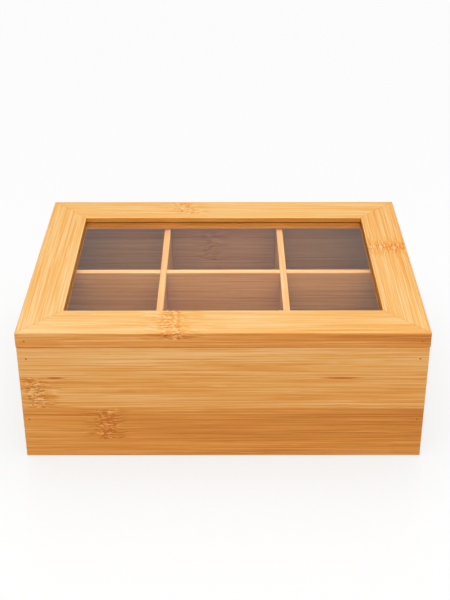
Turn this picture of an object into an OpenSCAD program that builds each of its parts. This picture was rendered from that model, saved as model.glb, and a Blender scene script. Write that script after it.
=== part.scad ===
// Bamboo tea bag box: a butt-jointed box with a half-lapped lattice of three dividers,
// and a mitred, glazed lid on two small butt hinges let into the back of the rim.
// Millimetres. X runs left to right, Y front to back, Z up; the origin is the middle of the base.

/* [Lid] */
// Width of the lid, left to right
lid_w = 220; // [180:1:320]
// Depth of the lid, front to back
lid_d = 158; // [130:1:240]
// Thickness of the lid's frame
lid_t = 9; // [8:0.5:14]
// Width of each mitred rail of the frame
rail_w = 23; // [18:0.5:32]
// How far the lid stands out past the walls on every side
lid_overhang = 0.2; // [0:0.1:1.5]
// Gap between the closed lid and the rim
lid_gap = 0.3; // [0.1:0.1:0.8]
// Width of the glue line at each mitre
mitre_gap = 0.1; // [0.05:0.05:0.4]

/* [Pane] */
// Thickness of the clear pane
pane_t = 1.5; // [1.2:0.1:3]
// Thickness of the rail's lip over the pane
pane_lip = 3.1; // [2:0.1:3.5]
// Depth of the groove that holds the pane
pane_groove_d = 5; // [3:0.5:8]
// Gap between the pane's edge and the bottom of its groove
pane_play = 0.5; // [0.1:0.1:1]
// Headroom over the pane in its groove
pane_headroom = 0.2; // [0.1:0.1:0.6]

/* [Walls] */
// Height of the four walls
wall_h = 71.8; // [50:0.2:120]
// Thickness of the four walls
wall_t = 8; // [7:0.5:12]
// Rounding of every board's long edges
edge_r = 0.5; // [0.3:0.1:1]

/* [Floor] */
// Thickness of the floor panel
floor_t = 4; // [3:0.5:6]
// Height of the floor panel's underside above the table
floor_up = 4; // [2:0.5:10]
// Depth of the groove that holds the floor panel
floor_groove_d = 4; // [2:0.5:5]
// Gap between the floor panel's edge and the bottom of its groove
floor_play = 0.5; // [0.1:0.1:1]

/* [Dividers] */
// Thickness of the dividers
divider_t = 3.8; // [3:0.1:6]
// How much wider the middle compartments are than the outer ones
middle_extra = 3; // [-10:1:20]
// How far the long divider lies behind the middle
cross_offset = 3; // [-15:0.5:15]
// How far the dividers' top edges lie below the rim
divider_drop = 0.5; // [0.2:0.1:10]
// Depth of the housings that hold the dividers' ends in the walls
housing_d = 2.5; // [1.5:0.5:4]
// Gap on each side of a divider in its housing and in its halving joint
divider_play = 0.1; // [0.05:0.05:0.3]

/* [Hinges] */
// Distance from each side of the lid in to the middle of a hinge
hinge_end = 40; // [25:1:60]
// Length of a hinge along its pin
hinge_l = 24; // [18:1:32]
// Distance from the back of the walls in to the hinge pin
hinge_inset = 2; // [1.8:0.1:2.6]
// Width of a leaf from the pin to its front edge
leaf_w = 4.6; // [4.2:0.1:5]
// Thickness of a leaf
leaf_t = 0.8; // [0.6:0.1:1]
// Diameter of the hinge barrel
barrel_d = 2.8; // [2.4:0.1:3.2]
// Diameter of the hinge pin
pin_d = 1.2; // [1:0.1:1.4]
// Angle at which the two bevelled back edges meet and stop the lid
stop_angle = 102; // [92:1:110]

/* [Fasteners] */
// Diameter of the brads
brad_d = 0.8; // [0.7:0.1:1.2]
// Length of the brads
brad_l = 20; // [16:1:26]
// Distance from the end of a board in to its upper brads
brad_inset = 4.7; // [3.4:0.1:5.5]
// Distance from the end of a wall in to its lower brads
brad_low_inset = 3.4; // [3:0.1:5.5]
// Height of the lower brad in each corner of the walls
brad_low = 25; // [12:0.5:30]
// Distance from the rim down to the upper brad
brad_top_drop = 7.2; // [5:0.2:12]
// Height of the lid's brads above its underside
lid_brad_up = 3.8; // [3:0.1:5.5]
// Diameter of the hinge screws
screw_d = 1.6; // [1.2:0.1:1.8]
// Length of the hinge screws
screw_l = 6; // [4:0.5:7]
// Distance between the two screws of a leaf
screw_pitch = 15; // [11:0.5:17]

/* [Hidden] */
$fn = 48;

clay = 0.02;              // slip clearance of a pin, brad or screw in its hole
overcut = 1;              // how far a cutting tool runs past the face that it cuts

// Box
box_w = lid_w - 2 * lid_overhang;
box_d = lid_d - 2 * lid_overhang;
inner_w = box_w - 2 * wall_t;
inner_d = box_d - 2 * wall_t;
lid_z = wall_h + lid_gap;

// Floor and dividers
floor_fit = 0.1;          // slack of the floor panel's thickness in its groove
floor_top = floor_up + floor_t;
floor_w = inner_w + 2 * (floor_groove_d - floor_play);
floor_d = inner_d + 2 * (floor_groove_d - floor_play);
outer_cell_w = (inner_w - 2 * divider_t - middle_extra) / 3;
divider_pitch = outer_cell_w + middle_extra + divider_t;
divider_h = wall_h - divider_drop - floor_top;
divider_end = housing_d - divider_play;
divider_r = 0.3;          // easing of the thin dividers' edges
slot_w = divider_t + 2 * divider_play;

// Pane
window_w = lid_w - 2 * rail_w;
window_d = lid_d - 2 * rail_w;
pane_w = window_w + 2 * (pane_groove_d - pane_play);
pane_d = window_d + 2 * (pane_groove_d - pane_play);
pane_groove_h = pane_t + pane_headroom;
pane_groove_z = lid_t - pane_lip - pane_groove_h;
pane_edge_r = 0.3;        // polished easing of the pane's corners

// Hinges
hinge_pitch = lid_w - 2 * hinge_end;
axis_y = box_d / 2 - hinge_inset;
axis_z = wall_h + lid_gap / 2;
barrel_r = barrel_d / 2;
pocket_r = barrel_r + 0.2;
knuckles = 3;
knuckle_gap = 0.15;
knuckle_l = (hinge_l - (knuckles - 1) * knuckle_gap) / knuckles;
pin_run = 0.05;           // running clearance of the lid's knuckle on the pin
pin_head_l = 0.3;
pin_head_r = pin_d / 2 + 0.3;
leaf_fit = 0.15;          // gap round a leaf in its recess
screw_y = axis_y - barrel_r - (leaf_w - barrel_r) / 2;
screw_head_r = screw_d / 2 + 0.45;
screw_head_h = leaf_t * 0.7;
screw_slot = 0.3;

// Brads
brad_head_r = brad_d / 2 + 0.15;
brad_head_h = 0.4;
brad_set = 0.3;           // how far a brad's head is punched below the face
brad_tip = 1.6;
wall_brad_x = [box_w / 2 - brad_low_inset, box_w / 2 - brad_inset];
wall_brad_z = [brad_low, wall_h - brad_top_drop];
lid_brad_x = lid_w / 2 - brad_inset;
lid_brad_z = lid_z + lid_brad_up;

bamboo = "#dca566";
pale_bamboo = "#e3b377";
brass = "#c9a24c";
steel = "#a9a39a";

// ---- shared shapes ----

// A rectangle with round corners, its lower left corner at the origin.
module rounded(w, h, r) {
    translate([r, 0]) square([w - 2 * r, h]);
    translate([0, r]) square([w, h - 2 * r]);
    for (x = [r, w - r], y = [r, h - r])
        translate([x, y]) circle(r);
}

// A board with every edge eased, centred on X and Y and standing on z = 0.
module eased_board(x, y, z, r) {
    translate([-x / 2, -y / 2, 0])
        intersection() {
            linear_extrude(z) rounded(x, y, r);
            translate([0, y, 0]) rotate([90, 0, 0]) linear_extrude(y) rounded(x, z, r);
            rotate([90, 0, 90]) linear_extrude(x) rounded(y, z, r);
        }
}

// Copies to the left and to the right.
module both_sides(x) {
    for (side = [-1, 1])
        translate([side * x, 0, 0]) children();
}

// ---- fasteners ----

// A brad driven along +Y from the face y = 0, with its head below the face.
module brad() {
    translate([0, brad_set, 0]) rotate([-90, 0, 0]) {
        cylinder(h = brad_head_h, r = brad_head_r);
        cylinder(h = brad_l - brad_tip, r = brad_d / 2);
        translate([0, 0, brad_l - brad_tip])
            cylinder(h = brad_tip, r1 = brad_d / 2, r2 = brad_d / 8);
    }
}

// The hole that a brad leaves, open to the face y = 0.
module brad_hole() {
    translate([0, -overcut, 0]) rotate([-90, 0, 0])
        cylinder(h = overcut + brad_set + brad_head_h, r = brad_head_r + clay);
    rotate([-90, 0, 0])
        cylinder(h = brad_set + brad_l + clay, r = brad_d / 2 + clay);
}

// Places a child at every brad of the four wall corners, turned to be driven inwards.
module at_wall_brads() {
    for (turn = [0, 180], side = [-1, 1], i = [0, 1])
        rotate(turn) translate([side * wall_brad_x[i], -box_d / 2, wall_brad_z[i]]) children();
}

// Places a child at every brad of the lid's mitres, turned to be driven inwards.
module at_lid_brads() {
    for (turn = [0, 180], side = [-1, 1])
        rotate(turn) translate([side * lid_brad_x, -lid_d / 2, lid_brad_z]) children();
}

// A slotted countersunk screw driven along -Z, its head flush with z = 0.
module screw() {
    difference() {
        union() {
            translate([0, 0, -screw_head_h])
                cylinder(h = screw_head_h, r1 = screw_d / 2, r2 = screw_head_r);
            translate([0, 0, -screw_l]) cylinder(h = screw_l - screw_head_h, r = screw_d / 2);
        }
        translate([-screw_head_r, -screw_slot / 2, -screw_slot])
            cube([2 * screw_head_r, screw_slot, overcut]);
    }
}

// The countersunk hole for a screw, opening at z = 0.
module screw_hole() {
    translate([0, 0, -screw_head_h])
        cylinder(h = screw_head_h, r1 = screw_d / 2 + clay, r2 = screw_head_r + clay);
    translate([0, 0, -clay]) cylinder(h = overcut, r = screw_head_r + clay);
    translate([0, 0, -screw_l - clay]) cylinder(h = screw_l, r = screw_d / 2 + clay);
}

// ---- hinges: each is drawn at the middle of the back, and turned over for the lid's half ----

// Flips the box's half of a hinge into the lid's half.
module lid_half() {
    translate([0, 0, axis_z]) mirror([0, 0, 1]) translate([0, 0, -axis_z]) children();
}

// Places a child at both screws of a leaf.
module at_leaf_screws() {
    both_sides(screw_pitch / 2) translate([0, screw_y, wall_h]) children();
}

// A length of the barrel, from x1 to x2.
module barrel(x1, x2, r) {
    translate([x1, axis_y, axis_z]) rotate([0, 90, 0]) cylinder(h = x2 - x1, r = r);
}

// Start of knuckle i along the pin.
function knuckle_x(i) = -hinge_l / 2 + i * (knuckle_l + knuckle_gap);

// A leaf lying in the rim, with the knuckles whose numbers are given and a bore for the pin.
module leaf(own, bore_r) {
    difference() {
        union() {
            translate([-hinge_l / 2, axis_y - leaf_w, wall_h - leaf_t])
                cube([hinge_l, leaf_w, leaf_t]);
            for (i = own)
                barrel(knuckle_x(i), knuckle_x(i) + knuckle_l, barrel_r);
        }
        for (i = [0 : knuckles - 1])
            if (len(search(i, own)) == 0)
                barrel(knuckle_x(i) - knuckle_gap, knuckle_x(i) + knuckle_l + knuckle_gap, pocket_r);
        barrel(-hinge_l, hinge_l, bore_r);
        at_leaf_screws() screw_hole();
    }
}

// The pin, with a small rivet head at each end.
module pin() {
    barrel(-hinge_l / 2 - clay, hinge_l / 2 + clay, pin_d / 2);
    for (side = [0, 1])
        mirror([side, 0, 0])
            barrel(hinge_l / 2 + clay, hinge_l / 2 + clay + pin_head_l, pin_head_r);
}

// What a hinge takes out of the rim: the leaf's recess, the barrel's trough and the screw holes.
module hinge_recess() {
    trough_l = hinge_l + 2 * (pin_head_l + leaf_fit);
    translate([-hinge_l / 2 - leaf_fit, axis_y - leaf_w - leaf_fit, wall_h - leaf_t])
        cube([hinge_l + 2 * leaf_fit, leaf_w + leaf_fit, leaf_t + overcut]);
    barrel(-trough_l / 2, trough_l / 2, pocket_r);
    at_leaf_screws() screw_hole();
}

// The bevel along the back of the rim, through the hinge axis, that stops the lid.
module back_bevel() {
    reach = hinge_inset + lid_overhang + overcut;
    drop = reach * tan(stop_angle / 2);
    translate([-lid_w / 2 - overcut, axis_y, axis_z])
        rotate([90, 0, 90]) linear_extrude(lid_w + 2 * overcut)
            polygon([[0, 0], [reach, -drop], [reach, overcut], [0, overcut]]);
}

// ---- box ----

// The groove round the inside of the walls for the floor panel.
module floor_groove() {
    w = inner_w + 2 * floor_groove_d;
    d = inner_d + 2 * floor_groove_d;
    translate([-w / 2, -d / 2, floor_up]) cube([w, d, floor_t + floor_fit]);
}

// The housings in the walls for the dividers' ends, open at the rim.
module divider_housings() {
    h = wall_h - floor_top + overcut;
    translate([0, cross_offset, floor_top])
        translate([-inner_w / 2 - housing_d, -slot_w / 2, 0])
            cube([inner_w + 2 * housing_d, slot_w, h]);
    both_sides(divider_pitch / 2)
        translate([-slot_w / 2, -inner_d / 2 - housing_d, floor_top])
            cube([slot_w, inner_d + 2 * housing_d, h]);
}

// The front wall, which laps the ends of the side walls. The back wall is cut from the same board.
module long_wall() {
    difference() {
        translate([0, -(box_d - wall_t) / 2, 0]) eased_board(box_w, wall_t, wall_h, edge_r);
        floor_groove();
        divider_housings();
        at_wall_brads() brad_hole();
    }
}

module front_wall() {
    color(bamboo) long_wall();
}

module back_wall() {
    color(bamboo) difference() {
        rotate(180) long_wall();
        back_bevel();
        both_sides(hinge_pitch / 2) hinge_recess();
    }
}

module side_wall(side) {
    color(bamboo) difference() {
        translate([side * (box_w - wall_t) / 2, 0, 0])
            eased_board(wall_t, inner_d, wall_h, edge_r);
        floor_groove();
        divider_housings();
        at_wall_brads() brad_hole();
    }
}

module floor_panel() {
    color(bamboo) translate([0, 0, floor_up]) eased_board(floor_w, floor_d, floor_t, divider_r);
}

module wall_brads() {
    color(steel) at_wall_brads() brad();
}

// ---- dividers: the long one is notched from above, the short ones from below ----

module cross_divider() {
    notch_h = divider_h / 2 + divider_play;
    color(pale_bamboo) translate([0, cross_offset, floor_top]) difference() {
        eased_board(inner_w + 2 * divider_end, divider_t, divider_h, divider_r);
        both_sides(divider_pitch / 2)
            translate([-slot_w / 2, -divider_t, divider_h - notch_h])
                cube([slot_w, 2 * divider_t, notch_h + overcut]);
    }
}

module short_divider(side) {
    notch_h = divider_h / 2 + divider_play;
    color(pale_bamboo) translate([side * divider_pitch / 2, 0, floor_top]) difference() {
        eased_board(divider_t, inner_d + 2 * divider_end, divider_h, divider_r);
        translate([-divider_t, cross_offset - slot_w / 2, -overcut])
            cube([2 * divider_t, slot_w, notch_h + overcut]);
    }
}

// ---- lid ----

// Section of a rail: the outer face at y = 0, the groove for the pane in the inner face.
module rail_section() {
    difference() {
        rounded(rail_w, lid_t, edge_r);
        translate([rail_w - pane_groove_d, pane_groove_z])
            square([pane_groove_d + overcut, pane_groove_h]);
    }
}

// A mitred rail along the front of a lid of this width and depth.
module rail(w, d) {
    gap = mitre_gap * sqrt(2) / 2;
    translate([0, -d / 2, lid_z]) intersection() {
        translate([-w / 2, 0, 0]) rotate([90, 0, 90]) linear_extrude(w) rail_section();
        linear_extrude(lid_t) translate([-w / 2, 0]) rounded(w, d, edge_r);
        linear_extrude(lid_t)
            polygon([[-w / 2 + gap, 0], [w / 2 - gap, 0],
                     [w / 2 - rail_w - gap, rail_w], [-w / 2 + rail_w + gap, rail_w]]);
    }
}

module lid_front_rail() {
    color(bamboo) difference() {
        rail(lid_w, lid_d);
        at_lid_brads() brad_hole();
    }
}

module lid_back_rail() {
    color(bamboo) difference() {
        rotate(180) rail(lid_w, lid_d);
        at_lid_brads() brad_hole();
        lid_half() {
            back_bevel();
            both_sides(hinge_pitch / 2) hinge_recess();
        }
    }
}

module lid_side_rail(side) {
    color(bamboo) difference() {
        rotate(side * 90) rail(lid_d, lid_w);
        at_lid_brads() brad_hole();
        lid_half() back_bevel();
    }
}

module lid_pane() {
    color("lightcyan", 0.35)
        translate([0, 0, lid_z + pane_groove_z])
            translate([-pane_w / 2, -pane_d / 2, 0])
                linear_extrude(pane_t) rounded(pane_w, pane_d, pane_edge_r);
}

module lid_brads() {
    color(steel) at_lid_brads() brad();
}

// ---- hinges in place ----

module box_leaf(side) {
    color(brass) translate([side * hinge_pitch / 2, 0, 0]) leaf([0, 2], pin_d / 2 + clay);
}

module lid_leaf(side) {
    color(brass) translate([side * hinge_pitch / 2, 0, 0]) lid_half() leaf([1], pin_d / 2 + pin_run);
}

module hinge_pin(side) {
    color(brass) translate([side * hinge_pitch / 2, 0, 0]) pin();
}

module box_hinge_screws() {
    color(brass) both_sides(hinge_pitch / 2) at_leaf_screws() screw();
}

module lid_hinge_screws() {
    color(brass) both_sides(hinge_pitch / 2) lid_half() at_leaf_screws() screw();
}

front_wall();
back_wall();
side_wall(-1);  // left_wall
side_wall(1);  // right_wall
floor_panel();
cross_divider();
short_divider(-1);  // left_divider
short_divider(1);  // right_divider
wall_brads();
lid_front_rail();
lid_back_rail();
lid_side_rail(-1);  // lid_left_rail
lid_side_rail(1);  // lid_right_rail
lid_pane();
lid_brads();
box_leaf(-1);  // left_hinge_box_leaf
box_leaf(1);  // right_hinge_box_leaf
lid_leaf(-1);  // left_hinge_lid_leaf
lid_leaf(1);  // right_hinge_lid_leaf
hinge_pin(-1);  // left_hinge_pin
hinge_pin(1);  // right_hinge_pin
box_hinge_screws();
lid_hinge_screws();
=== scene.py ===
"""Finishes a bamboo tea bag box, board by board, and sets up a plain studio for it."""

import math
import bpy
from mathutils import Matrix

bl_info = {
    "name": "Bamboo Tea Bag Box",
    "version": (1, 0, 0),
    "blender": (4, 5, 0),
    "location": "3D View > Sidebar > Tea Box",
    "description": "Finishes each piece of a bamboo tea bag box and sets up its studio",
    "category": "Object",
}

import bpy

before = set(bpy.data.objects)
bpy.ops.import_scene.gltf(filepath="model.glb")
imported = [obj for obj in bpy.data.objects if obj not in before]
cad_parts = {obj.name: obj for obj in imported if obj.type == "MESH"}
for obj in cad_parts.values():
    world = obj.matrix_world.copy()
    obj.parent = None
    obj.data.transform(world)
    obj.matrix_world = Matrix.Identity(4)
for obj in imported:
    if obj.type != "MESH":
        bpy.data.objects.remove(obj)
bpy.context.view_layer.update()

# ---- places on the box, in millimetres from its middle or up from the floor ----

LENGTHWAYS, DEEP, UP = 0, 1, 2  # the axes
WALL_END = 109.8  # the sawn ends of the front and back wall
WALL_INSIDE = 70.8  # the inner faces of the front and back wall
SIDE_INSIDE = 101.8  # the inner faces of the left and right wall
ALL_INSIDE = 1000.0  # past every face, for a board that lies inside as a whole
DIVIDER_EDGE = 70.8  # over this height a divider shows its top edge
LID_TOP = 81.1  # the lid's top face
LID_FOLD = 78.9  # further out than this, a knot on a lid rail folds down over the rail's outer face
LID_MITRE = 31.0  # the lid's half length less its half depth, as at any point of a mitre
WINDOW_HALF_LENGTH, WINDOW_HALF_DEPTH = 87.0, 56.0  # the opening in the lid
PANE_LEVEL = 76.5  # parts the lip over the pane from the lip under it

# ---- how the bamboo varies: tones run from 0 to 1 along a palette ----

PALETTE_STOPS = (0.0, 0.1, 0.4, 0.51, 0.7)  # the brown, deep, orange, middle and pale tones
BROWN = (0.95, 0.72, 0.38)  # a knot's brown, as a share of the deep tone
ORANGE = (0.96, 0.8, 0.54)  # a streak's orange, as a share of the middle tone
MIDDLE_TONE = 0.5  # what a strip's own tone is added to
OWN_STEP = 0.37  # from one strip's own number to the next, which takes turns over the whole range
LAST_STRIP = 40.0  # width allowed for the last strip, in millimetres
BOARD_HALF = 105.0  # half the run over which a strip's tone changes from end to end, in millimetres
FIBRE_SHIFT = (310, 0, 170)  # the most that one strip's fibres are moved, in millimetres
GLUE_WIDTH = 0.2  # half width of a closed glue line
MITRE_WIDTH, MITRE_TONE = 0.45, -0.04  # half width of a mitre's line, and what it adds to the tone
GAP_WIDTH, GAP_TONE = 0.6, -0.6  # the same for an open glue line, at its widest
LIT_TOP_FADE = (0.45, 0.1)  # the top face's painted light, a paler colour, starts and is complete this far under its height
PAINTED_SHADE_FADE = (0.5, 0.2)  # the painted shade inside the box starts and is complete this far out from its face
END_FADE = (0.4, 0.15)  # the end grain starts and is complete this far from the board's end
BUNDLES = (0.0, 1.25, 1.6)  # to a millimetre of end grain, along, across and through the board
LIP_SLACK = 0.3  # how far past the window's edge a rail still counts as its lip
INSIDE_PAINTED_SHADE = (0.48, 0.43, 0.41, 1)  # painted shade: what is left of the wood's colour on the faces inside the box
LIP_PAINTED_LIGHT = (1.16, 1.08, 0.8, 1)  # painted light: what the window's lip over the pane takes of the wood's colour
LIP_PAINTED_SHADE = (0.84, 0.76, 0.48, 1)  # and under it
PAINTED_SHADE_RUN = (20.0, 90.0)  # a long board's painted shade deepens from here to there, in millimetres from its middle

TARNISHED = 0.7  # what tarnish leaves of a metal's colour

# ---- the studio, in metres and degrees ----

FLOOR_RADIUS = 5.0  # far enough out that its edge never shows
FLOOR_DROP = 0.0001  # the floor lies this far down, so that it and the box's foot never coincide
PAPER = "#E6E4E2"
PAPER_SHADE = "#616161"  # the part of the paper's colour that shows the light on it
PAPER_SHINE, SHINE_BLUR = "#2C2C2C", 0.3  # its faint sheen
PAINTED_SHADOW_REACH = 0.075  # how far the painted shadow reaches round what stands on the paper
PAINTED_SHADOW_WHITE, OPEN_WHITE = 0.7, 0.842  # the white the eye meets, dimmed as painted shadow against the box, and undimmed in the open near it
FAR_WHITE = 0.983  # and far from it
NEAR_END, FAR_START = 0.5, 1.3  # the paper turns from near to far between these
HORIZON, OVERHEAD = 0.4, 0.52  # sines of the elevations between which what is mirrored fades
HORIZON_GLOW = 0.62  # the strength it fades to
FILL_PLACE, FILL_TILT, FILL_SIZE = (0, -1.6, 1.1), 55, 1.4  # the weaker lamp in front
CAMERA_PLACE = (0.00188, -0.57087, 0.39669)
CAMERA_TURN = (62.742, 0.084, 0.044)
CAMERA_RISE = -0.12  # the lens shifted up or down, as a share of the view
SENSOR_WIDTH = 36  # in millimetres
NEAREST = 0.01  # nothing closer to the camera than this shows


def linear(code):
    """An sRGB hex code as linear red, green, blue and alpha."""
    parts = [int(code[i : i + 2], 16) / 255 for i in (1, 3, 5)]
    return [c / 12.92 if c <= 0.04045 else ((c + 0.055) / 1.055) ** 2.4 for c in parts] + [1.0]


def add(tree, kind, inputs=(), **settings):
    """Adds a shader node with its settings, and fills or links its inputs, by order or socket."""
    node = tree.nodes.new("ShaderNode" + kind)
    for key, value in settings.items():
        setattr(node, key, value)
    for key, value in inputs.items() if isinstance(inputs, dict) else enumerate(inputs):
        if isinstance(value, bpy.types.Node):
            value = value.outputs[0]
        if isinstance(value, bpy.types.NodeSocket):
            tree.links.new(value, node.inputs[key])
        else:
            node.inputs[key].default_value = value
    return node


def new_material(name):
    """An empty material with its tree and its output node."""
    material = bpy.data.materials.new(name)
    material.use_nodes = True
    material.node_tree.nodes.clear()
    return material, material.node_tree, add(material.node_tree, "OutputMaterial")


def dress(node, material):
    """Puts a material on a piece of the frame."""
    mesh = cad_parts[node].data
    mesh.materials.clear()
    mesh.materials.append(material)


def shape_ramp(node, stops, interpolation="LINEAR"):
    """Sets a colour ramp's stops, each a place and a colour."""
    ramp = node.color_ramp
    ramp.interpolation = interpolation
    while len(ramp.elements) > 1:
        ramp.elements.remove(ramp.elements[-1])
    ramp.elements[0].position, ramp.elements[0].color = stops[0]
    for place, colour in stops[1:]:
        ramp.elements.new(place).color = colour
    return node


def seen_by_eye(tree):
    """1 where the eye meets a surface, straight, mirrored or through the pane, and otherwise 0."""
    path = add(tree, "LightPath").outputs
    seen = add(tree, "Math", (path["Is Camera Ray"], path["Is Glossy Ray"]), operation="MAXIMUM")
    return add(tree, "Math", (seen, path["Is Transmission Ray"]), operation="MAXIMUM")


# ---- sizes and colours that a user would change ----


def colour(name, description, code):
    """A colour setting, given as an sRGB hex code."""
    return bpy.props.FloatVectorProperty(
        name=name, description=description, default=linear(code), subtype="COLOR", size=4,
        min=0, max=1)


class BambooLook(bpy.types.PropertyGroup):
    wall_pale: colour("Wall pale", "Palest fibres of the walls", "#EDBA7C")
    wall_mid: colour("Wall middle", "Middle tone of the walls", "#E2A456")
    wall_deep: colour("Wall deep", "Deepest streaks of the walls", "#BF721F")
    # The lid's top is given paler colours than its sides: painted light on the face that looks up.
    lid_pale: colour("Lid pale", "Palest fibres of the lid's top", "#F4D59E")
    lid_mid: colour("Lid middle", "Middle tone of the lid's top", "#F3C077")
    lid_deep: colour("Lid deep", "Deepest streaks of the lid's top", "#E68E29")
    side_pale: colour("Lid side pale", "Palest fibres of the lid's sides", "#EEB16B")
    side_mid: colour("Lid side middle", "Middle tone of the lid's sides", "#DC9748")
    side_deep: colour("Lid side deep", "Deepest streaks of the lid's sides", "#AC5E14")
    # The dividers' faces are given darker colours than the walls: painted shade inside the box.
    inner_pale: colour("Divider pale", "Palest fibres of the dividers' faces", "#CE965C")
    inner_mid: colour("Divider middle", "Middle tone of the dividers' faces", "#BD803E")
    inner_deep: colour("Divider deep", "Deepest streaks of the dividers' faces", "#965A1E")
    # The dividers' top edges are given paler colours than their faces: painted light on the edges
    # that look up.
    edge_pale: colour("Edge pale", "Palest fibres of the dividers' top edges", "#D7AC78")
    edge_mid: colour("Edge middle", "Middle tone of the dividers' top edges", "#CF9455")
    edge_deep: colour("Edge deep", "Deepest streaks of the dividers' top edges", "#BB7A40")


class PaneLook(bpy.types.PropertyGroup):
    ior: bpy.props.FloatProperty(
        name="IOR", description="Refractive index of the clear sheet",
        default=1.4, min=1.3, max=1.6)
    reflection: bpy.props.FloatProperty(
        name="Reflection", description="How much of the plain reflection the sheet keeps",
        default=0.0, min=0, max=1, subtype="FACTOR")
    lamp_share: bpy.props.FloatProperty(
        name="Lamp light", description="Share of lamp light that each face lets through",
        default=0.95, min=0, max=1, subtype="FACTOR")


class MetalLook(bpy.types.PropertyGroup):
    brass: colour("Brass", "Colour of the hinges", "#D2A65A")
    brad: colour("Brads", "Colour of the brads", "#BE7C3A")


class StageLook(bpy.types.PropertyGroup):
    world_light: bpy.props.FloatProperty(
        name="Room light", description="Strength of the even light from all round",
        default=0.28, min=0, max=1)
    softbox_power: bpy.props.FloatProperty(
        name="Softbox power", description="Power of the lamp overhead",
        default=45.0, min=0, unit="POWER")
    softbox_size: bpy.props.FloatProperty(
        name="Softbox size", description="Width of the lamp overhead",
        default=2.4, min=0.2, unit="LENGTH")
    softbox_height: bpy.props.FloatProperty(
        name="Softbox height", description="Height of the lamp over the floor",
        default=2.4, min=0.5, unit="LENGTH")
    softbox_forward: bpy.props.FloatProperty(
        name="Softbox forward", description="How far in front of the box the lamp hangs",
        default=0.15, unit="LENGTH")
    fill_power: bpy.props.FloatProperty(
        name="Fill power", description="Power of the weaker lamp in front",
        default=13.5, min=0, unit="POWER")
    lens: bpy.props.FloatProperty(
        name="Lens", description="Focal length for a 36 mm sensor",
        default=66.383, min=20, unit="CAMERA")


# ---- bamboo ----
#
# A Mix node takes numbers at its sockets 2 and 3 and colours at 6 and 7, and gives a colour at 2.
# A MapRange node takes the value, then what it runs from and to, then what it gives there.


def grain(tree, place, length, width, detail=2.0):
    """Noise drawn out along the fibres: length and width are its sizes in millimetres."""
    size = (1 / length, 1 / width, 1 / width)
    scaled = add(tree, "VectorMath", (place, size), operation="MULTIPLY")
    return add(tree, "TexNoise", {
        "Vector": scaled, "Scale": 1.0, "Detail": detail, "Roughness": 0.55})


def palette(tree, tone, colours):
    """Brown, deep, orange, middle and pale tones of bamboo, picked by a tone from 0 to 1."""
    return shape_ramp(add(tree, "ValToRGB", (tone,)), list(zip(PALETTE_STOPS, colours))).outputs[0]


def tones(pale, mid, deep):
    """A palette's five colours: the three given, a knot's brown and a streak's orange."""
    brown = [c * share for c, share in zip(deep, BROWN)] + [1.0]
    orange = [c * share for c, share in zip(mid, ORANGE)] + [1.0]
    return [brown, list(deep), orange, list(mid), list(pale)]


def strip_tones(tree, u, v, strips, seed):
    """The tone of the strip at a point, and a number of the strip's own."""
    low, high = strips[0][0], strips[-1][0] + LAST_STRIP
    stops = []
    for i, (at, left, right) in enumerate(strips):
        own = (i * OWN_STEP + seed) % 1
        stops.append(((at - low) / (high - low), (MIDDLE_TONE + left, own, MIDDLE_TONE + right, 1)))
    span = add(tree, "MapRange", (v, low, high))
    ramp = shape_ramp(add(tree, "ValToRGB", (span,)), stops, "CONSTANT")
    left, own, right = add(tree, "SeparateColor", (ramp,)).outputs
    along = add(tree, "MapRange", (u, -BOARD_HALF, BOARD_HALF))
    return add(tree, "Mix", {0: along, 2: left, 3: right}), own


def knot_marks(tree, flat, row, knots):
    """Where the knots are: a ragged core of broken fibres, in a halo where they bend and darken."""
    core, halo = 0.0, 0.0
    ragged = grain(tree, flat, length=9, width=1.3, detail=1.0) if knots else None
    for at_u, at_v, half_u, half_v, slant in knots:
        lean = (1 / half_u, -slant / half_u, 0)
        near = add(tree, "VectorMath", (flat, lean), operation="DOT_PRODUCT").outputs["Value"]
        near = add(tree, "Math", (near, (slant * at_v - at_u) / half_u), operation="ADD")
        near = add(tree, "Math", (near,), operation="ABSOLUTE")
        edge = add(tree, "Math", (row, 1 / half_v, -at_v / half_v), operation="MULTIPLY_ADD")
        edge = add(tree, "Math", (edge,), operation="ABSOLUTE")
        edge = add(tree, "MapRange", (edge, 1.0, 0.94), interpolation_type="SMOOTHSTEP")
        rough = add(tree, "Math", (ragged, 1.9, near), operation="MULTIPLY_ADD")
        broken = add(tree, "MapRange", (rough, 2.2, 1.55), interpolation_type="SMOOTHSTEP")
        core = add(tree, "Math", (broken, edge, core), operation="MULTIPLY_ADD")
        bent = add(tree, "MapRange", (near, 3.6, 0.6), interpolation_type="SMOOTHSTEP")
        halo = add(tree, "Math", (bent, edge, halo), operation="MULTIPLY_ADD")
    return core, halo


def shade(tree, tone, value, start, end, low, high, mask=None):
    """Adds low to high to a tone as a value goes from start to end, where a mask, if any, is 1."""
    step = add(tree, "MapRange", (value, start, end, low, high), interpolation_type="SMOOTHSTEP")
    if mask is None:
        return add(tree, "Math", (tone, step), operation="ADD")
    return add(tree, "Math", (mask, step, tone), operation="MULTIPLY_ADD")


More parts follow.
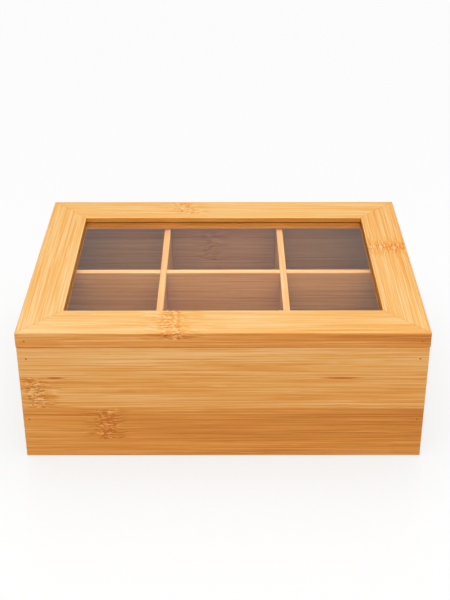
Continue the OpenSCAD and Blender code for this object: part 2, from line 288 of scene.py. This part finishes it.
def glue_lines(tree, tone, u, v, flat, strips, gaps):
    """Draws the glue lines, dark where the strips' edges don't quite close and open at the gaps."""
    joint = 0.0
    for at, _, _ in strips[1:]:
        line = add(tree, "Math", (v, at, GLUE_WIDTH), operation="COMPARE")
        joint = add(tree, "Math", (line, joint), operation="MAXIMUM")
    patches = grain(tree, flat, length=30, width=8, detail=1.0)
    tone = shade(tree, tone, patches, 0.5, 0.72, -0.03, -0.18, joint)
    for at_u, at_v, half in gaps:
        along = add(tree, "Math", (u, -at_u), operation="ADD")
        along = add(tree, "Math", (along,), operation="ABSOLUTE")
        taper = (along, 0.0, half, GAP_WIDTH, 0.0)
        width = add(tree, "MapRange", taper, interpolation_type="SMOOTHSTEP")
        across = add(tree, "Math", (v, -at_v), operation="ADD")
        across = add(tree, "Math", (across,), operation="ABSOLUTE")
        gap = add(tree, "Math", (across, width), operation="LESS_THAN")
        tone = add(tree, "Math", (gap, GAP_TONE, tone), operation="MULTIPLY_ADD")
    return tone


def bamboo(name, colours, along, across, strips, knots=(), gaps=(), end=None, top=None,
           inside=None, lip=None, mitre=None, fade=0.0, shares=(0.24, 0.38, 0.55), seed=0.0):
    """Flat-pressed bamboo: strips of culm glued edge to edge, sanded, and given a satin lacquer.

    The eye sees straight fine streaks, a tone of its own for each strip, and soft reflections.
    along and across are the axes of the fibres and of the row of strips. Places are in millimetres.
    colours are the five of a palette, from brown to pale.
    strips holds where each strip starts, and its tone at either end.
    knots are scars of the culm's joints: place along and across, half width, half height, slant.
    gaps are open stretches of a glue line: place along and across, and half length.
    end is where the end grain starts.
    top is the height and the colours of a top face painted paler, as painted light.
    inside is the distance from the middle to the board's inner face, past which the wood is painted
    in shade.
    lip is the distance from the middle to a lid rail's inner face, whose lip is painted in light
    over the pane and in shade under it.
    mitre is the difference in half length and half depth of the lid, as the rail lies.
    fade is how much paler a long board is painted at its middle, and darker at its ends, as painted
    light and shade.
    shares are how strongly the broad, middling and fine fibre bundles show.
    seed sets a board's own pattern.
    """
    material, tree, output = new_material(name)
    where = add(tree, "TexCoord").outputs["Object"]
    where = add(tree, "VectorMath", {0: where, "Scale": 1000.0}, operation="SCALE")
    axes = add(tree, "SeparateXYZ", (where,)).outputs
    through = 3 - along - across  # the third axis
    u, v, w = axes[along], axes[across], axes[through]
    flat = add(tree, "CombineXYZ", (u, v, w))
    from_middle = add(tree, "Math", (u,), operation="ABSOLUTE")
    from_centre_line = add(tree, "Math", (v,), operation="ABSOLUTE")

    # Each strip has its own tone, and its own stretch of fibres.
    ground, own = strip_tones(tree, u, v, strips, seed)
    moved = add(tree, "CombineXYZ", (own, seed, own))
    moved = add(tree, "VectorMath", (moved, FIBRE_SHIFT, flat), operation="MULTIPLY_ADD")

    row = v
    if mitre:
        # A knot of the lid's top runs on down the outer face.
        outer = add(tree, "Math", (from_centre_line, LID_FOLD), operation="GREATER_THAN")
        down = add(tree, "Math", (w, -LID_TOP), operation="ADD")
        row = add(tree, "Math", (outer, down, v), operation="MULTIPLY_ADD")
    core, halo = knot_marks(tree, flat, row, knots)

    # Fibres run straight, and sway by a knot.
    wave = grain(tree, moved, length=15, width=7, detail=1.0)
    wave = add(tree, "Math", (wave, -0.5), operation="ADD")
    reach = add(tree, "Math", (halo, 4.0, 0.45), operation="MULTIPLY_ADD")
    sway = add(tree, "Math", (wave, reach), operation="MULTIPLY")
    sway = add(tree, "CombineXYZ", {1: sway, 2: sway})
    fibre = add(tree, "VectorMath", (moved, sway), operation="ADD")

    # Fibre bundles, in pale and orange streaks, with a few sharp lines among them. Real ones are
    # 0.2 to 5 mm across, and the finest are drawn 0.5 mm across, so that they show.
    broad = grain(tree, fibre, length=150, width=5.0, detail=1.0)
    streak = grain(tree, fibre, length=100, width=1.15, detail=2.0)
    fine = grain(tree, fibre, length=50, width=0.5, detail=1.0)
    line = grain(tree, fibre, length=75, width=0.65, detail=0.0)
    tone = add(tree, "Math", (ground, -sum(shares) / 2), operation="ADD")
    for noise, share in zip((broad, streak, fine), shares):
        tone = add(tree, "Math", (noise, share, tone), operation="MULTIPLY_ADD")
    tone = shade(tree, tone, line, 0.57, 0.68, 0.0, -0.1)
    tone = shade(tree, tone, line, 0.43, 0.3, 0.0, 0.08)
    # Vessels: dark dashes a centimetre long.
    vessel = grain(tree, fibre, length=10, width=0.42, detail=1.0)
    tone = shade(tree, tone, vessel, 0.6, 0.78, 0.0, -0.07)
    if knots:
        # Long dark streaks run out of a knot, and short pale and brown flecks fill its core.
        runs = grain(tree, fibre, length=13, width=1.3, detail=1.0)
        tone = shade(tree, tone, runs, 0.4, 0.66, 0.02, -0.19, halo)
        flecks = grain(tree, fibre, length=2.4, width=0.8, detail=1.0)
        tone = shade(tree, tone, flecks, 0.4, 0.6, -0.3, 0.16, core)
    tone = glue_lines(tree, tone, u, v, flat, strips, gaps)
    if mitre:
        seam = add(tree, "Math", (from_middle, from_centre_line), operation="SUBTRACT")
        seam = add(tree, "Math", (seam, mitre, MITRE_WIDTH), operation="COMPARE")
        tone = add(tree, "Math", (seam, MITRE_TONE, tone), operation="MULTIPLY_ADD")

    wood = palette(tree, tone, colours)
    if top:
        # Painted light: the top face takes paler colours than the sides, a lit copy of the same
        # bamboo.
        height, lit_top_colours = top
        lit_top_mask = add(tree, "MapRange", (axes[UP], height - LIT_TOP_FADE[0], height - LIT_TOP_FADE[1]))
        lit_top_wood = palette(tree, tone, lit_top_colours)
        wood = add(tree, "Mix", {0: lit_top_mask, 6: wood, 7: lit_top_wood}, data_type="RGBA").outputs[2]
    if inside:
        # Painted shade: inside, the bare wood is painted a darker, greyer brown, as the shade in
        # the box.
        depth = add(tree, "Math", (w,), operation="ABSOLUTE")
        inner = add(tree, "MapRange", (depth, inside + PAINTED_SHADE_FADE[0], inside + PAINTED_SHADE_FADE[1]))
        painted_shade = {0: inner, 6: wood, 7: INSIDE_PAINTED_SHADE}
        wood = add(tree, "Mix", painted_shade, data_type="RGBA", blend_type="MULTIPLY").outputs[2]
    if lip:
        # Painted light and shade: the window's lip is painted warmer over the pane, as if lit by
        # the wood across from it, and painted darker under the pane.
        inner = add(tree, "Math", (from_centre_line, lip + LIP_SLACK), operation="LESS_THAN")
        over = add(tree, "Math", (w, PANE_LEVEL), operation="GREATER_THAN")
        lip_light_and_shade = add(tree, "Mix", {0: over, 6: LIP_PAINTED_SHADE, 7: LIP_PAINTED_LIGHT}, data_type="RGBA").outputs[2]
        lip_light_and_shade = add(tree, "Mix", {0: inner, 6: (1, 1, 1, 1), 7: lip_light_and_shade}, data_type="RGBA").outputs[2]
        lip_painted = {0: 1.0, 6: wood, 7: lip_light_and_shade}
        wood = add(tree, "Mix", lip_painted, data_type="RGBA", blend_type="MULTIPLY").outputs[2]
    if fade:
        # Painted shade: a long board is painted darker towards its ends, where its side
        # compartments lie in shade, and paler at its middle.
        end_shade = (from_middle, *PAINTED_SHADE_RUN, 1 + fade, 1 - fade)
        end_shade = add(tree, "MapRange", end_shade, interpolation_type="SMOOTHSTEP")
        wood = add(tree, "VectorMath", {0: wood, "Scale": end_shade}, operation="SCALE")
    if end:
        # The cut ends of the fibre bundles show as dark points, a millimetre or less apart.
        points = add(tree, "VectorMath", (flat, BUNDLES), operation="MULTIPLY")
        points = add(tree, "TexVoronoi", {"Vector": points, "Scale": 1.0})
        points = (points, 0.08, 0.6, 0.0, 0.6)
        points = add(tree, "MapRange", points, interpolation_type="SMOOTHSTEP")
        points = palette(tree, points, colours)
        cut = add(tree, "MapRange", (from_middle, end - END_FADE[0], end - END_FADE[1]))
        wood = add(tree, "Mix", {0: cut, 6: wood, 7: points}, data_type="RGBA").outputs[2]

    # Sanding leaves the pale bundles standing a little proud and a little duller under the lacquer.
    relief = add(tree, "Math", (fine, streak), operation="ADD")
    bump = add(tree, "Bump", {"Height": relief, "Strength": 0.12, "Distance": 0.0002})
    gloss = add(tree, "MapRange", (streak, 0.3, 0.7, 0.42, 0.52))
    shader = add(tree, "BsdfPrincipled", {
        "Base Color": wood, "Roughness": gloss, "Normal": bump, "Specular IOR Level": 0.3})
    tree.links.new(shader.outputs[0], output.inputs["Surface"])
    return material


class DressWalls(bpy.types.Operator):
    """Gives the four walls and the floor panel their bamboo"""

    bl_idname = "teabox.dress_walls"
    bl_label = "Walls and Floor"

    def execute(self, context):
        look = context.scene.bamboo_look
        colours = tones(look.wall_pale, look.wall_mid, look.wall_deep)
        dress("front_wall", bamboo(
            "Bamboo, front wall", colours, LENGTHWAYS, UP,
            [(-1, -0.14, -0.19), (10.1, -0.15, -0.32), (32.2, -0.02, -0.04), (52.4, 0.02, 0.01)],
            knots=[(-101.3, 42.5, 5.3, 10.0, -0.05), (-64.7, 21.7, 4.8, 10.5, 0.0)],
            gaps=[(63.5, 52.4, 17), (-90.5, 52.4, 7)], end=WALL_END, inside=WALL_INSIDE, seed=0.13))
        # The back wall's strips differ in tone as bamboo does; its top strip is also set darker, as
        # painted shade under the lid's back rail, and its middle strip paler, as painted light
        # below that. Its fade paints shade towards its ends.
        dress("back_wall", bamboo(
            "Bamboo, back wall", colours, LENGTHWAYS, UP,
            [(-1, -0.08, -0.18), (11, -0.22, -0.12), (31, 0.05, 0.07), (57, -0.13, -0.1)],
            knots=[(-8, 55, 4.8, 14, 0.1), (66, 21, 5, 10, -0.1)],
            shares=(0.34, 0.56, 0.8), fade=0.11, end=WALL_END, inside=WALL_INSIDE, seed=0.41))
        dress("left_wall", bamboo(
            "Bamboo, left wall", colours, DEEP, UP,
            [(-1, -0.2, -0.12), (8, 0.0, -0.07), (28.5, -0.18, -0.08), (49, 0.02, -0.03)],
            knots=[(31, 38.7, 5, 10.2, 0.1)], inside=SIDE_INSIDE, seed=0.57))
        dress("right_wall", bamboo(
            "Bamboo, right wall", colours, DEEP, UP,
            [(-1, -0.06, -0.14), (13, -0.18, -0.08), (33.5, 0.02, 0.0), (54, -0.06, 0.0)],
            knots=[(-36, 23.2, 5, 10.2, -0.1)], inside=SIDE_INSIDE, seed=0.78))
        dress("floor_panel", bamboo(
            "Bamboo, floor panel", colours, LENGTHWAYS, DEEP,
            [(-80, 0.0, 0.03), (-60, -0.05, 0.0), (-40, 0.04, 0.0), (-20, -0.02, 0.04),
             (0, 0.05, -0.02), (20, -0.04, 0.0), (40, 0.02, 0.05), (60, -0.03, 0.0)],
            knots=[(40, -50, 5, 10, 0.1), (-70, 30, 5, 10, 0.0)], inside=ALL_INSIDE, seed=0.22))
        return {"FINISHED"}


class DressDividers(bpy.types.Operator):
    """Gives the three dividers their bamboo"""

    bl_idname = "teabox.dress_dividers"
    bl_label = "Dividers"

    def execute(self, context):
        look = context.scene.bamboo_look
        # The dividers' faces take the darker colours set as painted shade inside the box.
        colours = tones(look.inner_pale, look.inner_mid, look.inner_deep)
        edge = tones(look.edge_pale, look.edge_mid, look.edge_deep)
        strips = [(7, -0.04, 0.0), (28, 0.03, 0.0), (50, 0.02, 0.02)]
        # The third column is fade: the cross divider is painted darker towards its ends, as shade
        # in the side compartments, and paler at its middle.
        boards = (
            ("cross", LENGTHWAYS, 0.05, 0.31),
            ("left", DEEP, 0.0, 0.66),
            ("right", DEEP, 0.0, 0.87),
        )
        for place, along, fade, seed in boards:
            dress(f"{place}_divider", bamboo(
                f"Bamboo, {place} divider", colours, along, UP, strips, top=(DIVIDER_EDGE, edge),
                shares=(0.14, 0.26, 0.45), fade=fade, seed=seed))
        return {"FINISHED"}


class DressLid(bpy.types.Operator):
    """Gives the four mitred rails of the lid their bamboo"""

    bl_idname = "teabox.dress_lid"
    bl_label = "Lid Rails"

    def execute(self, context):
        look = context.scene.bamboo_look
        colours = tones(look.side_pale, look.side_mid, look.side_deep)
        # The lid's top face takes paler colours than its sides: painted light.
        top = (LID_TOP, tones(look.lid_pale, look.lid_mid, look.lid_deep))
        long = (LENGTHWAYS, DEEP, WINDOW_HALF_DEPTH, LID_MITRE)
        short = (DEEP, LENGTHWAYS, WINDOW_HALF_LENGTH, -LID_MITRE)
        rails = (
            ("front", long, [(-82, 0.06, -0.15), (-71, 0.0, -0.02)], [(-27.6, -67.5, 6, 16, 0.0)]),
            ("back", long, [(55, -0.03, -0.02), (71, -0.03, -0.05)], [(-24.5, 69.6, 5.2, 8, -0.3)]),
            ("left", short, [(-111, 0.03, -0.05)], []),
            ("right", short, [(86, 0.0, -0.11)], [(17.0, 98, 4.4, 14, 0.05)]),
        )
        for i, (side, (along, across, lip, mitre), strips, knots) in enumerate(rails):
            dress(f"lid_{side}_rail", bamboo(
                f"Bamboo, lid {side} rail", colours, along, across, strips, knots=knots, top=top,
                lip=lip, mitre=mitre, shares=(0.14, 0.28, 0.6), seed=0.19 + 0.23 * i))
        return {"FINISHED"}


class DressPane(bpy.types.Operator):
    """Makes the lid's pane clear cast acrylic"""

    bl_idname = "teabox.dress_pane"
    bl_label = "Pane"

    def execute(self, context):
        # Cast acrylic sheet, as smooth as the glass it was cast between: the eye sees through it
        # without a tint, and at a low angle it mirrors the room with hard edges.
        look = context.scene.pane_look
        material, tree, output = new_material("Clear cast acrylic")
        kept = (look.reflection,) * 3 + (1,)
        clear = add(tree, "BsdfPrincipled", {
            "Base Color": (1, 1, 1, 1), "Roughness": 0.0, "IOR": look.ior,
            "Transmission Weight": 1.0, "Specular Tint": kept})
        lamps = add(tree, "BsdfTransparent", ((look.lamp_share,) * 3 + (1,),))
        shadow = add(tree, "LightPath").outputs["Is Shadow Ray"]
        sheet = add(tree, "MixShader", (shadow, clear, lamps))
        tree.links.new(sheet.outputs[0], output.inputs["Surface"])
        dress("lid_pane", material)
        return {"FINISHED"}


class DressMetal(bpy.types.Operator):
    """Gives the hinges their brass and the brads their steel"""

    bl_idname = "teabox.dress_metal"
    bl_label = "Hinges and Brads"

    def execute(self, context):
        look = context.scene.metal_look
        # Rolled brass, stamped and tumbled bright: fine scratches in every direction blur what it
        # mirrors, and patches of tarnish dull it. Real scratches are a few hundredths of a
        # millimetre apart, and are drawn 0.2 mm apart so that they show. The patches are 2 to 3 mm
        # across.
        material, tree, output = new_material("Tumbled brass")
        where = add(tree, "TexCoord").outputs["Object"]
        scratch = add(tree, "TexNoise", {"Vector": where, "Scale": 5000.0, "Detail": 2.0})
        tarnish = add(tree, "TexNoise", {"Vector": where, "Scale": 420.0, "Detail": 3.0})
        tarnish = add(tree, "MapRange", (tarnish, 0.45, 0.75, 0.0, 0.6))
        dull = [c * TARNISHED for c in look.brass[:3]] + [1.0]
        brass = {0: tarnish, 6: list(look.brass), 7: dull}
        brass = add(tree, "Mix", brass, data_type="RGBA").outputs[2]
        rough = add(tree, "MapRange", (scratch, 0.0, 1.0, 0.22, 0.42))
        shader = add(tree, "BsdfPrincipled", {
            "Base Color": brass, "Roughness": rough, "Metallic": 1.0})
        tree.links.new(shader.outputs[0], output.inputs["Surface"])
        for side in ("left", "right"):
            for piece in ("box_leaf", "lid_leaf", "pin"):
                dress(f"{side}_hinge_{piece}", material)
        dress("box_hinge_screws", material)
        dress("lid_hinge_screws", material)
        # Drawn steel wire, cut to brads and punched flush: under the lacquer it takes a brown
        # bloom, in specks of about 0.7 mm, so the heads are small dull brown points.
        material, tree, output = new_material("Drawn steel wire")
        where = add(tree, "TexCoord").outputs["Object"]
        bloom = add(tree, "TexNoise", {"Vector": where, "Scale": 1500.0, "Detail": 2.0})
        dull = [c * TARNISHED for c in look.brad[:3]] + [1.0]
        steel = {0: bloom, 6: list(look.brad), 7: dull}
        steel = add(tree, "Mix", steel, data_type="RGBA").outputs[2]
        shader = add(tree, "BsdfPrincipled", {
            "Base Color": steel, "Roughness": 0.5, "Metallic": 1.0})
        tree.links.new(shader.outputs[0], output.inputs["Surface"])
        dress("wall_brads", material)
        dress("lid_brads", material)
        return {"FINISHED"}


class SetStage(bpy.types.Operator):
    """Lays the floor, hangs the softbox and places the camera"""

    bl_idname = "teabox.set_stage"
    bl_label = "Stage"

    def execute(self, context):
        look = context.scene.stage_look
        bpy.ops.object.select_all(action="DESELECT")
        bpy.ops.mesh.primitive_circle_add(vertices=96, radius=FLOOR_RADIUS, fill_type="NGON",
                                          location=(0, 0, -FLOOR_DROP))
        floor = context.object
        floor.name = "floor"
        bpy.ops.object.mode_set(mode="EDIT")
        bpy.ops.mesh.inset(thickness=FLOOR_RADIUS / 2)
        bpy.ops.object.mode_set(mode="OBJECT")
        # Matt white paper, calendered: an even white with a faint broad sheen. Lamps and boards
        # meet its full colour, and the eye meets it near white, with the box's real shadow kept in
        # a small lit share and a painted shadow from ambient occlusion dimming its white round the
        # box.
        material, tree, output = new_material("Matt white paper")
        seen = seen_by_eye(tree)
        paper = add(tree, "BsdfDiffuse", {"Color": linear(PAPER)})
        shadowed = add(tree, "BsdfDiffuse", {"Color": linear(PAPER_SHADE)})
        # Painted shadow: ambient occlusion dims the white the eye meets round the box.
        near = add(tree, "AmbientOcclusion", {"Distance": PAINTED_SHADOW_REACH}).outputs["AO"]
        near = add(tree, "MapRange", (near, 0.0, 1.0, PAINTED_SHADOW_WHITE, OPEN_WHITE))
        white = add(tree, "Emission", {"Color": (1, 1, 1, 1), "Strength": near})
        sheen = {"Color": linear(PAPER_SHINE), "Roughness": SHINE_BLUR}
        sheen = add(tree, "BsdfAnisotropic", sheen)
        lit = add(tree, "AddShader", (shadowed, white))
        lit = add(tree, "AddShader", (lit, sheen))
        # Far from the box, where the lamps' light falls off, the paper runs on as an even white.
        where = add(tree, "TexCoord").outputs["Object"]
        far = add(tree, "VectorMath", (where,), operation="LENGTH").outputs["Value"]
        far = add(tree, "MapRange", (far, NEAR_END, FAR_START))
        even = add(tree, "Emission", {"Color": (1, 1, 1, 1), "Strength": FAR_WHITE})
        lit = add(tree, "MixShader", (far, lit, even))
        shader = add(tree, "MixShader", (seen, paper, lit))
        tree.links.new(shader.outputs[0], output.inputs["Surface"])
        floor.data.materials.append(material)

        world = bpy.data.worlds.new("Studio")
        context.scene.world = world
        world.use_nodes = True
        tree = world.node_tree
        tree.nodes.clear()
        output = add(tree, "OutputWorld")
        # The room is white to the eye, and gives the box a weaker even light. What the pane and the
        # metal mirror of it fades low down, as on a studio's graded back wall.
        path = add(tree, "LightPath").outputs
        where = add(tree, "TexCoord").outputs["Object"]
        rise = add(tree, "SeparateXYZ", (where,)).outputs[UP]
        glow = add(tree, "MapRange", (rise, HORIZON, OVERHEAD, HORIZON_GLOW, 1.0))
        straight = (path["Is Camera Ray"], path["Is Transmission Ray"])
        straight = add(tree, "Math", straight, operation="MAXIMUM")
        glow = add(tree, "Math", (glow, straight), operation="MAXIMUM")
        strength = add(tree, "Mix", {0: seen_by_eye(tree), 2: look.world_light, 3: glow})
        sky = add(tree, "Background", {"Color": (1, 1, 1, 1), "Strength": strength})
        tree.links.new(sky.outputs[0], output.inputs["Surface"])

        # The softbox is aimed at the box's foot.
        over = (0, -look.softbox_forward, look.softbox_height)
        tilt = math.atan(look.softbox_forward / look.softbox_height)
        lamps = (
            ("softbox", over, tilt, look.softbox_size, look.softbox_power),
            ("fill", FILL_PLACE, math.radians(FILL_TILT), FILL_SIZE, look.fill_power),
        )
        for name, place, turn, size, power in lamps:
            bpy.ops.object.light_add(type="AREA", location=place, rotation=(turn, 0, 0))
            lamp = context.object
            lamp.name = name
            lamp.data.shape = "SQUARE"
            lamp.data.size = size
            lamp.data.energy = power

        bpy.ops.object.camera_add(location=CAMERA_PLACE)
        camera = context.object
        camera.name = "camera"
        camera.rotation_euler = [math.radians(turn) for turn in CAMERA_TURN]
        camera.data.sensor_width = SENSOR_WIDTH
        camera.data.lens = look.lens
        camera.data.shift_y = CAMERA_RISE
        camera.data.clip_start = NEAREST
        context.scene.camera = camera
        context.scene.view_settings.view_transform = "Standard"
        return {"FINISHED"}


PIECES = (DressWalls, DressDividers, DressLid, DressPane, DressMetal, SetStage)
LOOKS = (
    ("bamboo_look", BambooLook),
    ("pane_look", PaneLook),
    ("metal_look", MetalLook),
    ("stage_look", StageLook),
)


class TeaBoxPanel(bpy.types.Panel):
    """Lists the pieces of the tea box"""

    bl_idname = "VIEW3D_PT_teabox"
    bl_label = "Tea Box"
    bl_space_type = "VIEW_3D"
    bl_region_type = "UI"
    bl_category = "Tea Box"

    def draw(self, context):
        for piece in PIECES:
            self.layout.operator(piece.bl_idname)
        for name, look in LOOKS:
            box = self.layout.box()
            for prop in look.__annotations__:
                box.prop(getattr(context.scene, name), prop)


def register():
    for name, look in LOOKS:
        bpy.utils.register_class(look)
        setattr(bpy.types.Scene, name, bpy.props.PointerProperty(type=look))
    for cls in PIECES + (TeaBoxPanel,):
        bpy.utils.register_class(cls)


def unregister():
    for cls in (TeaBoxPanel,) + PIECES[::-1]:
        bpy.utils.unregister_class(cls)
    for name, look in LOOKS[::-1]:
        delattr(bpy.types.Scene, name)
        bpy.utils.unregister_class(look)


def main():
    register()
    bpy.ops.teabox.dress_walls()
    bpy.ops.teabox.dress_dividers()
    bpy.ops.teabox.dress_lid()
    bpy.ops.teabox.dress_pane()
    bpy.ops.teabox.dress_metal()
    bpy.ops.teabox.set_stage()


if __name__ == "__main__":
    main()
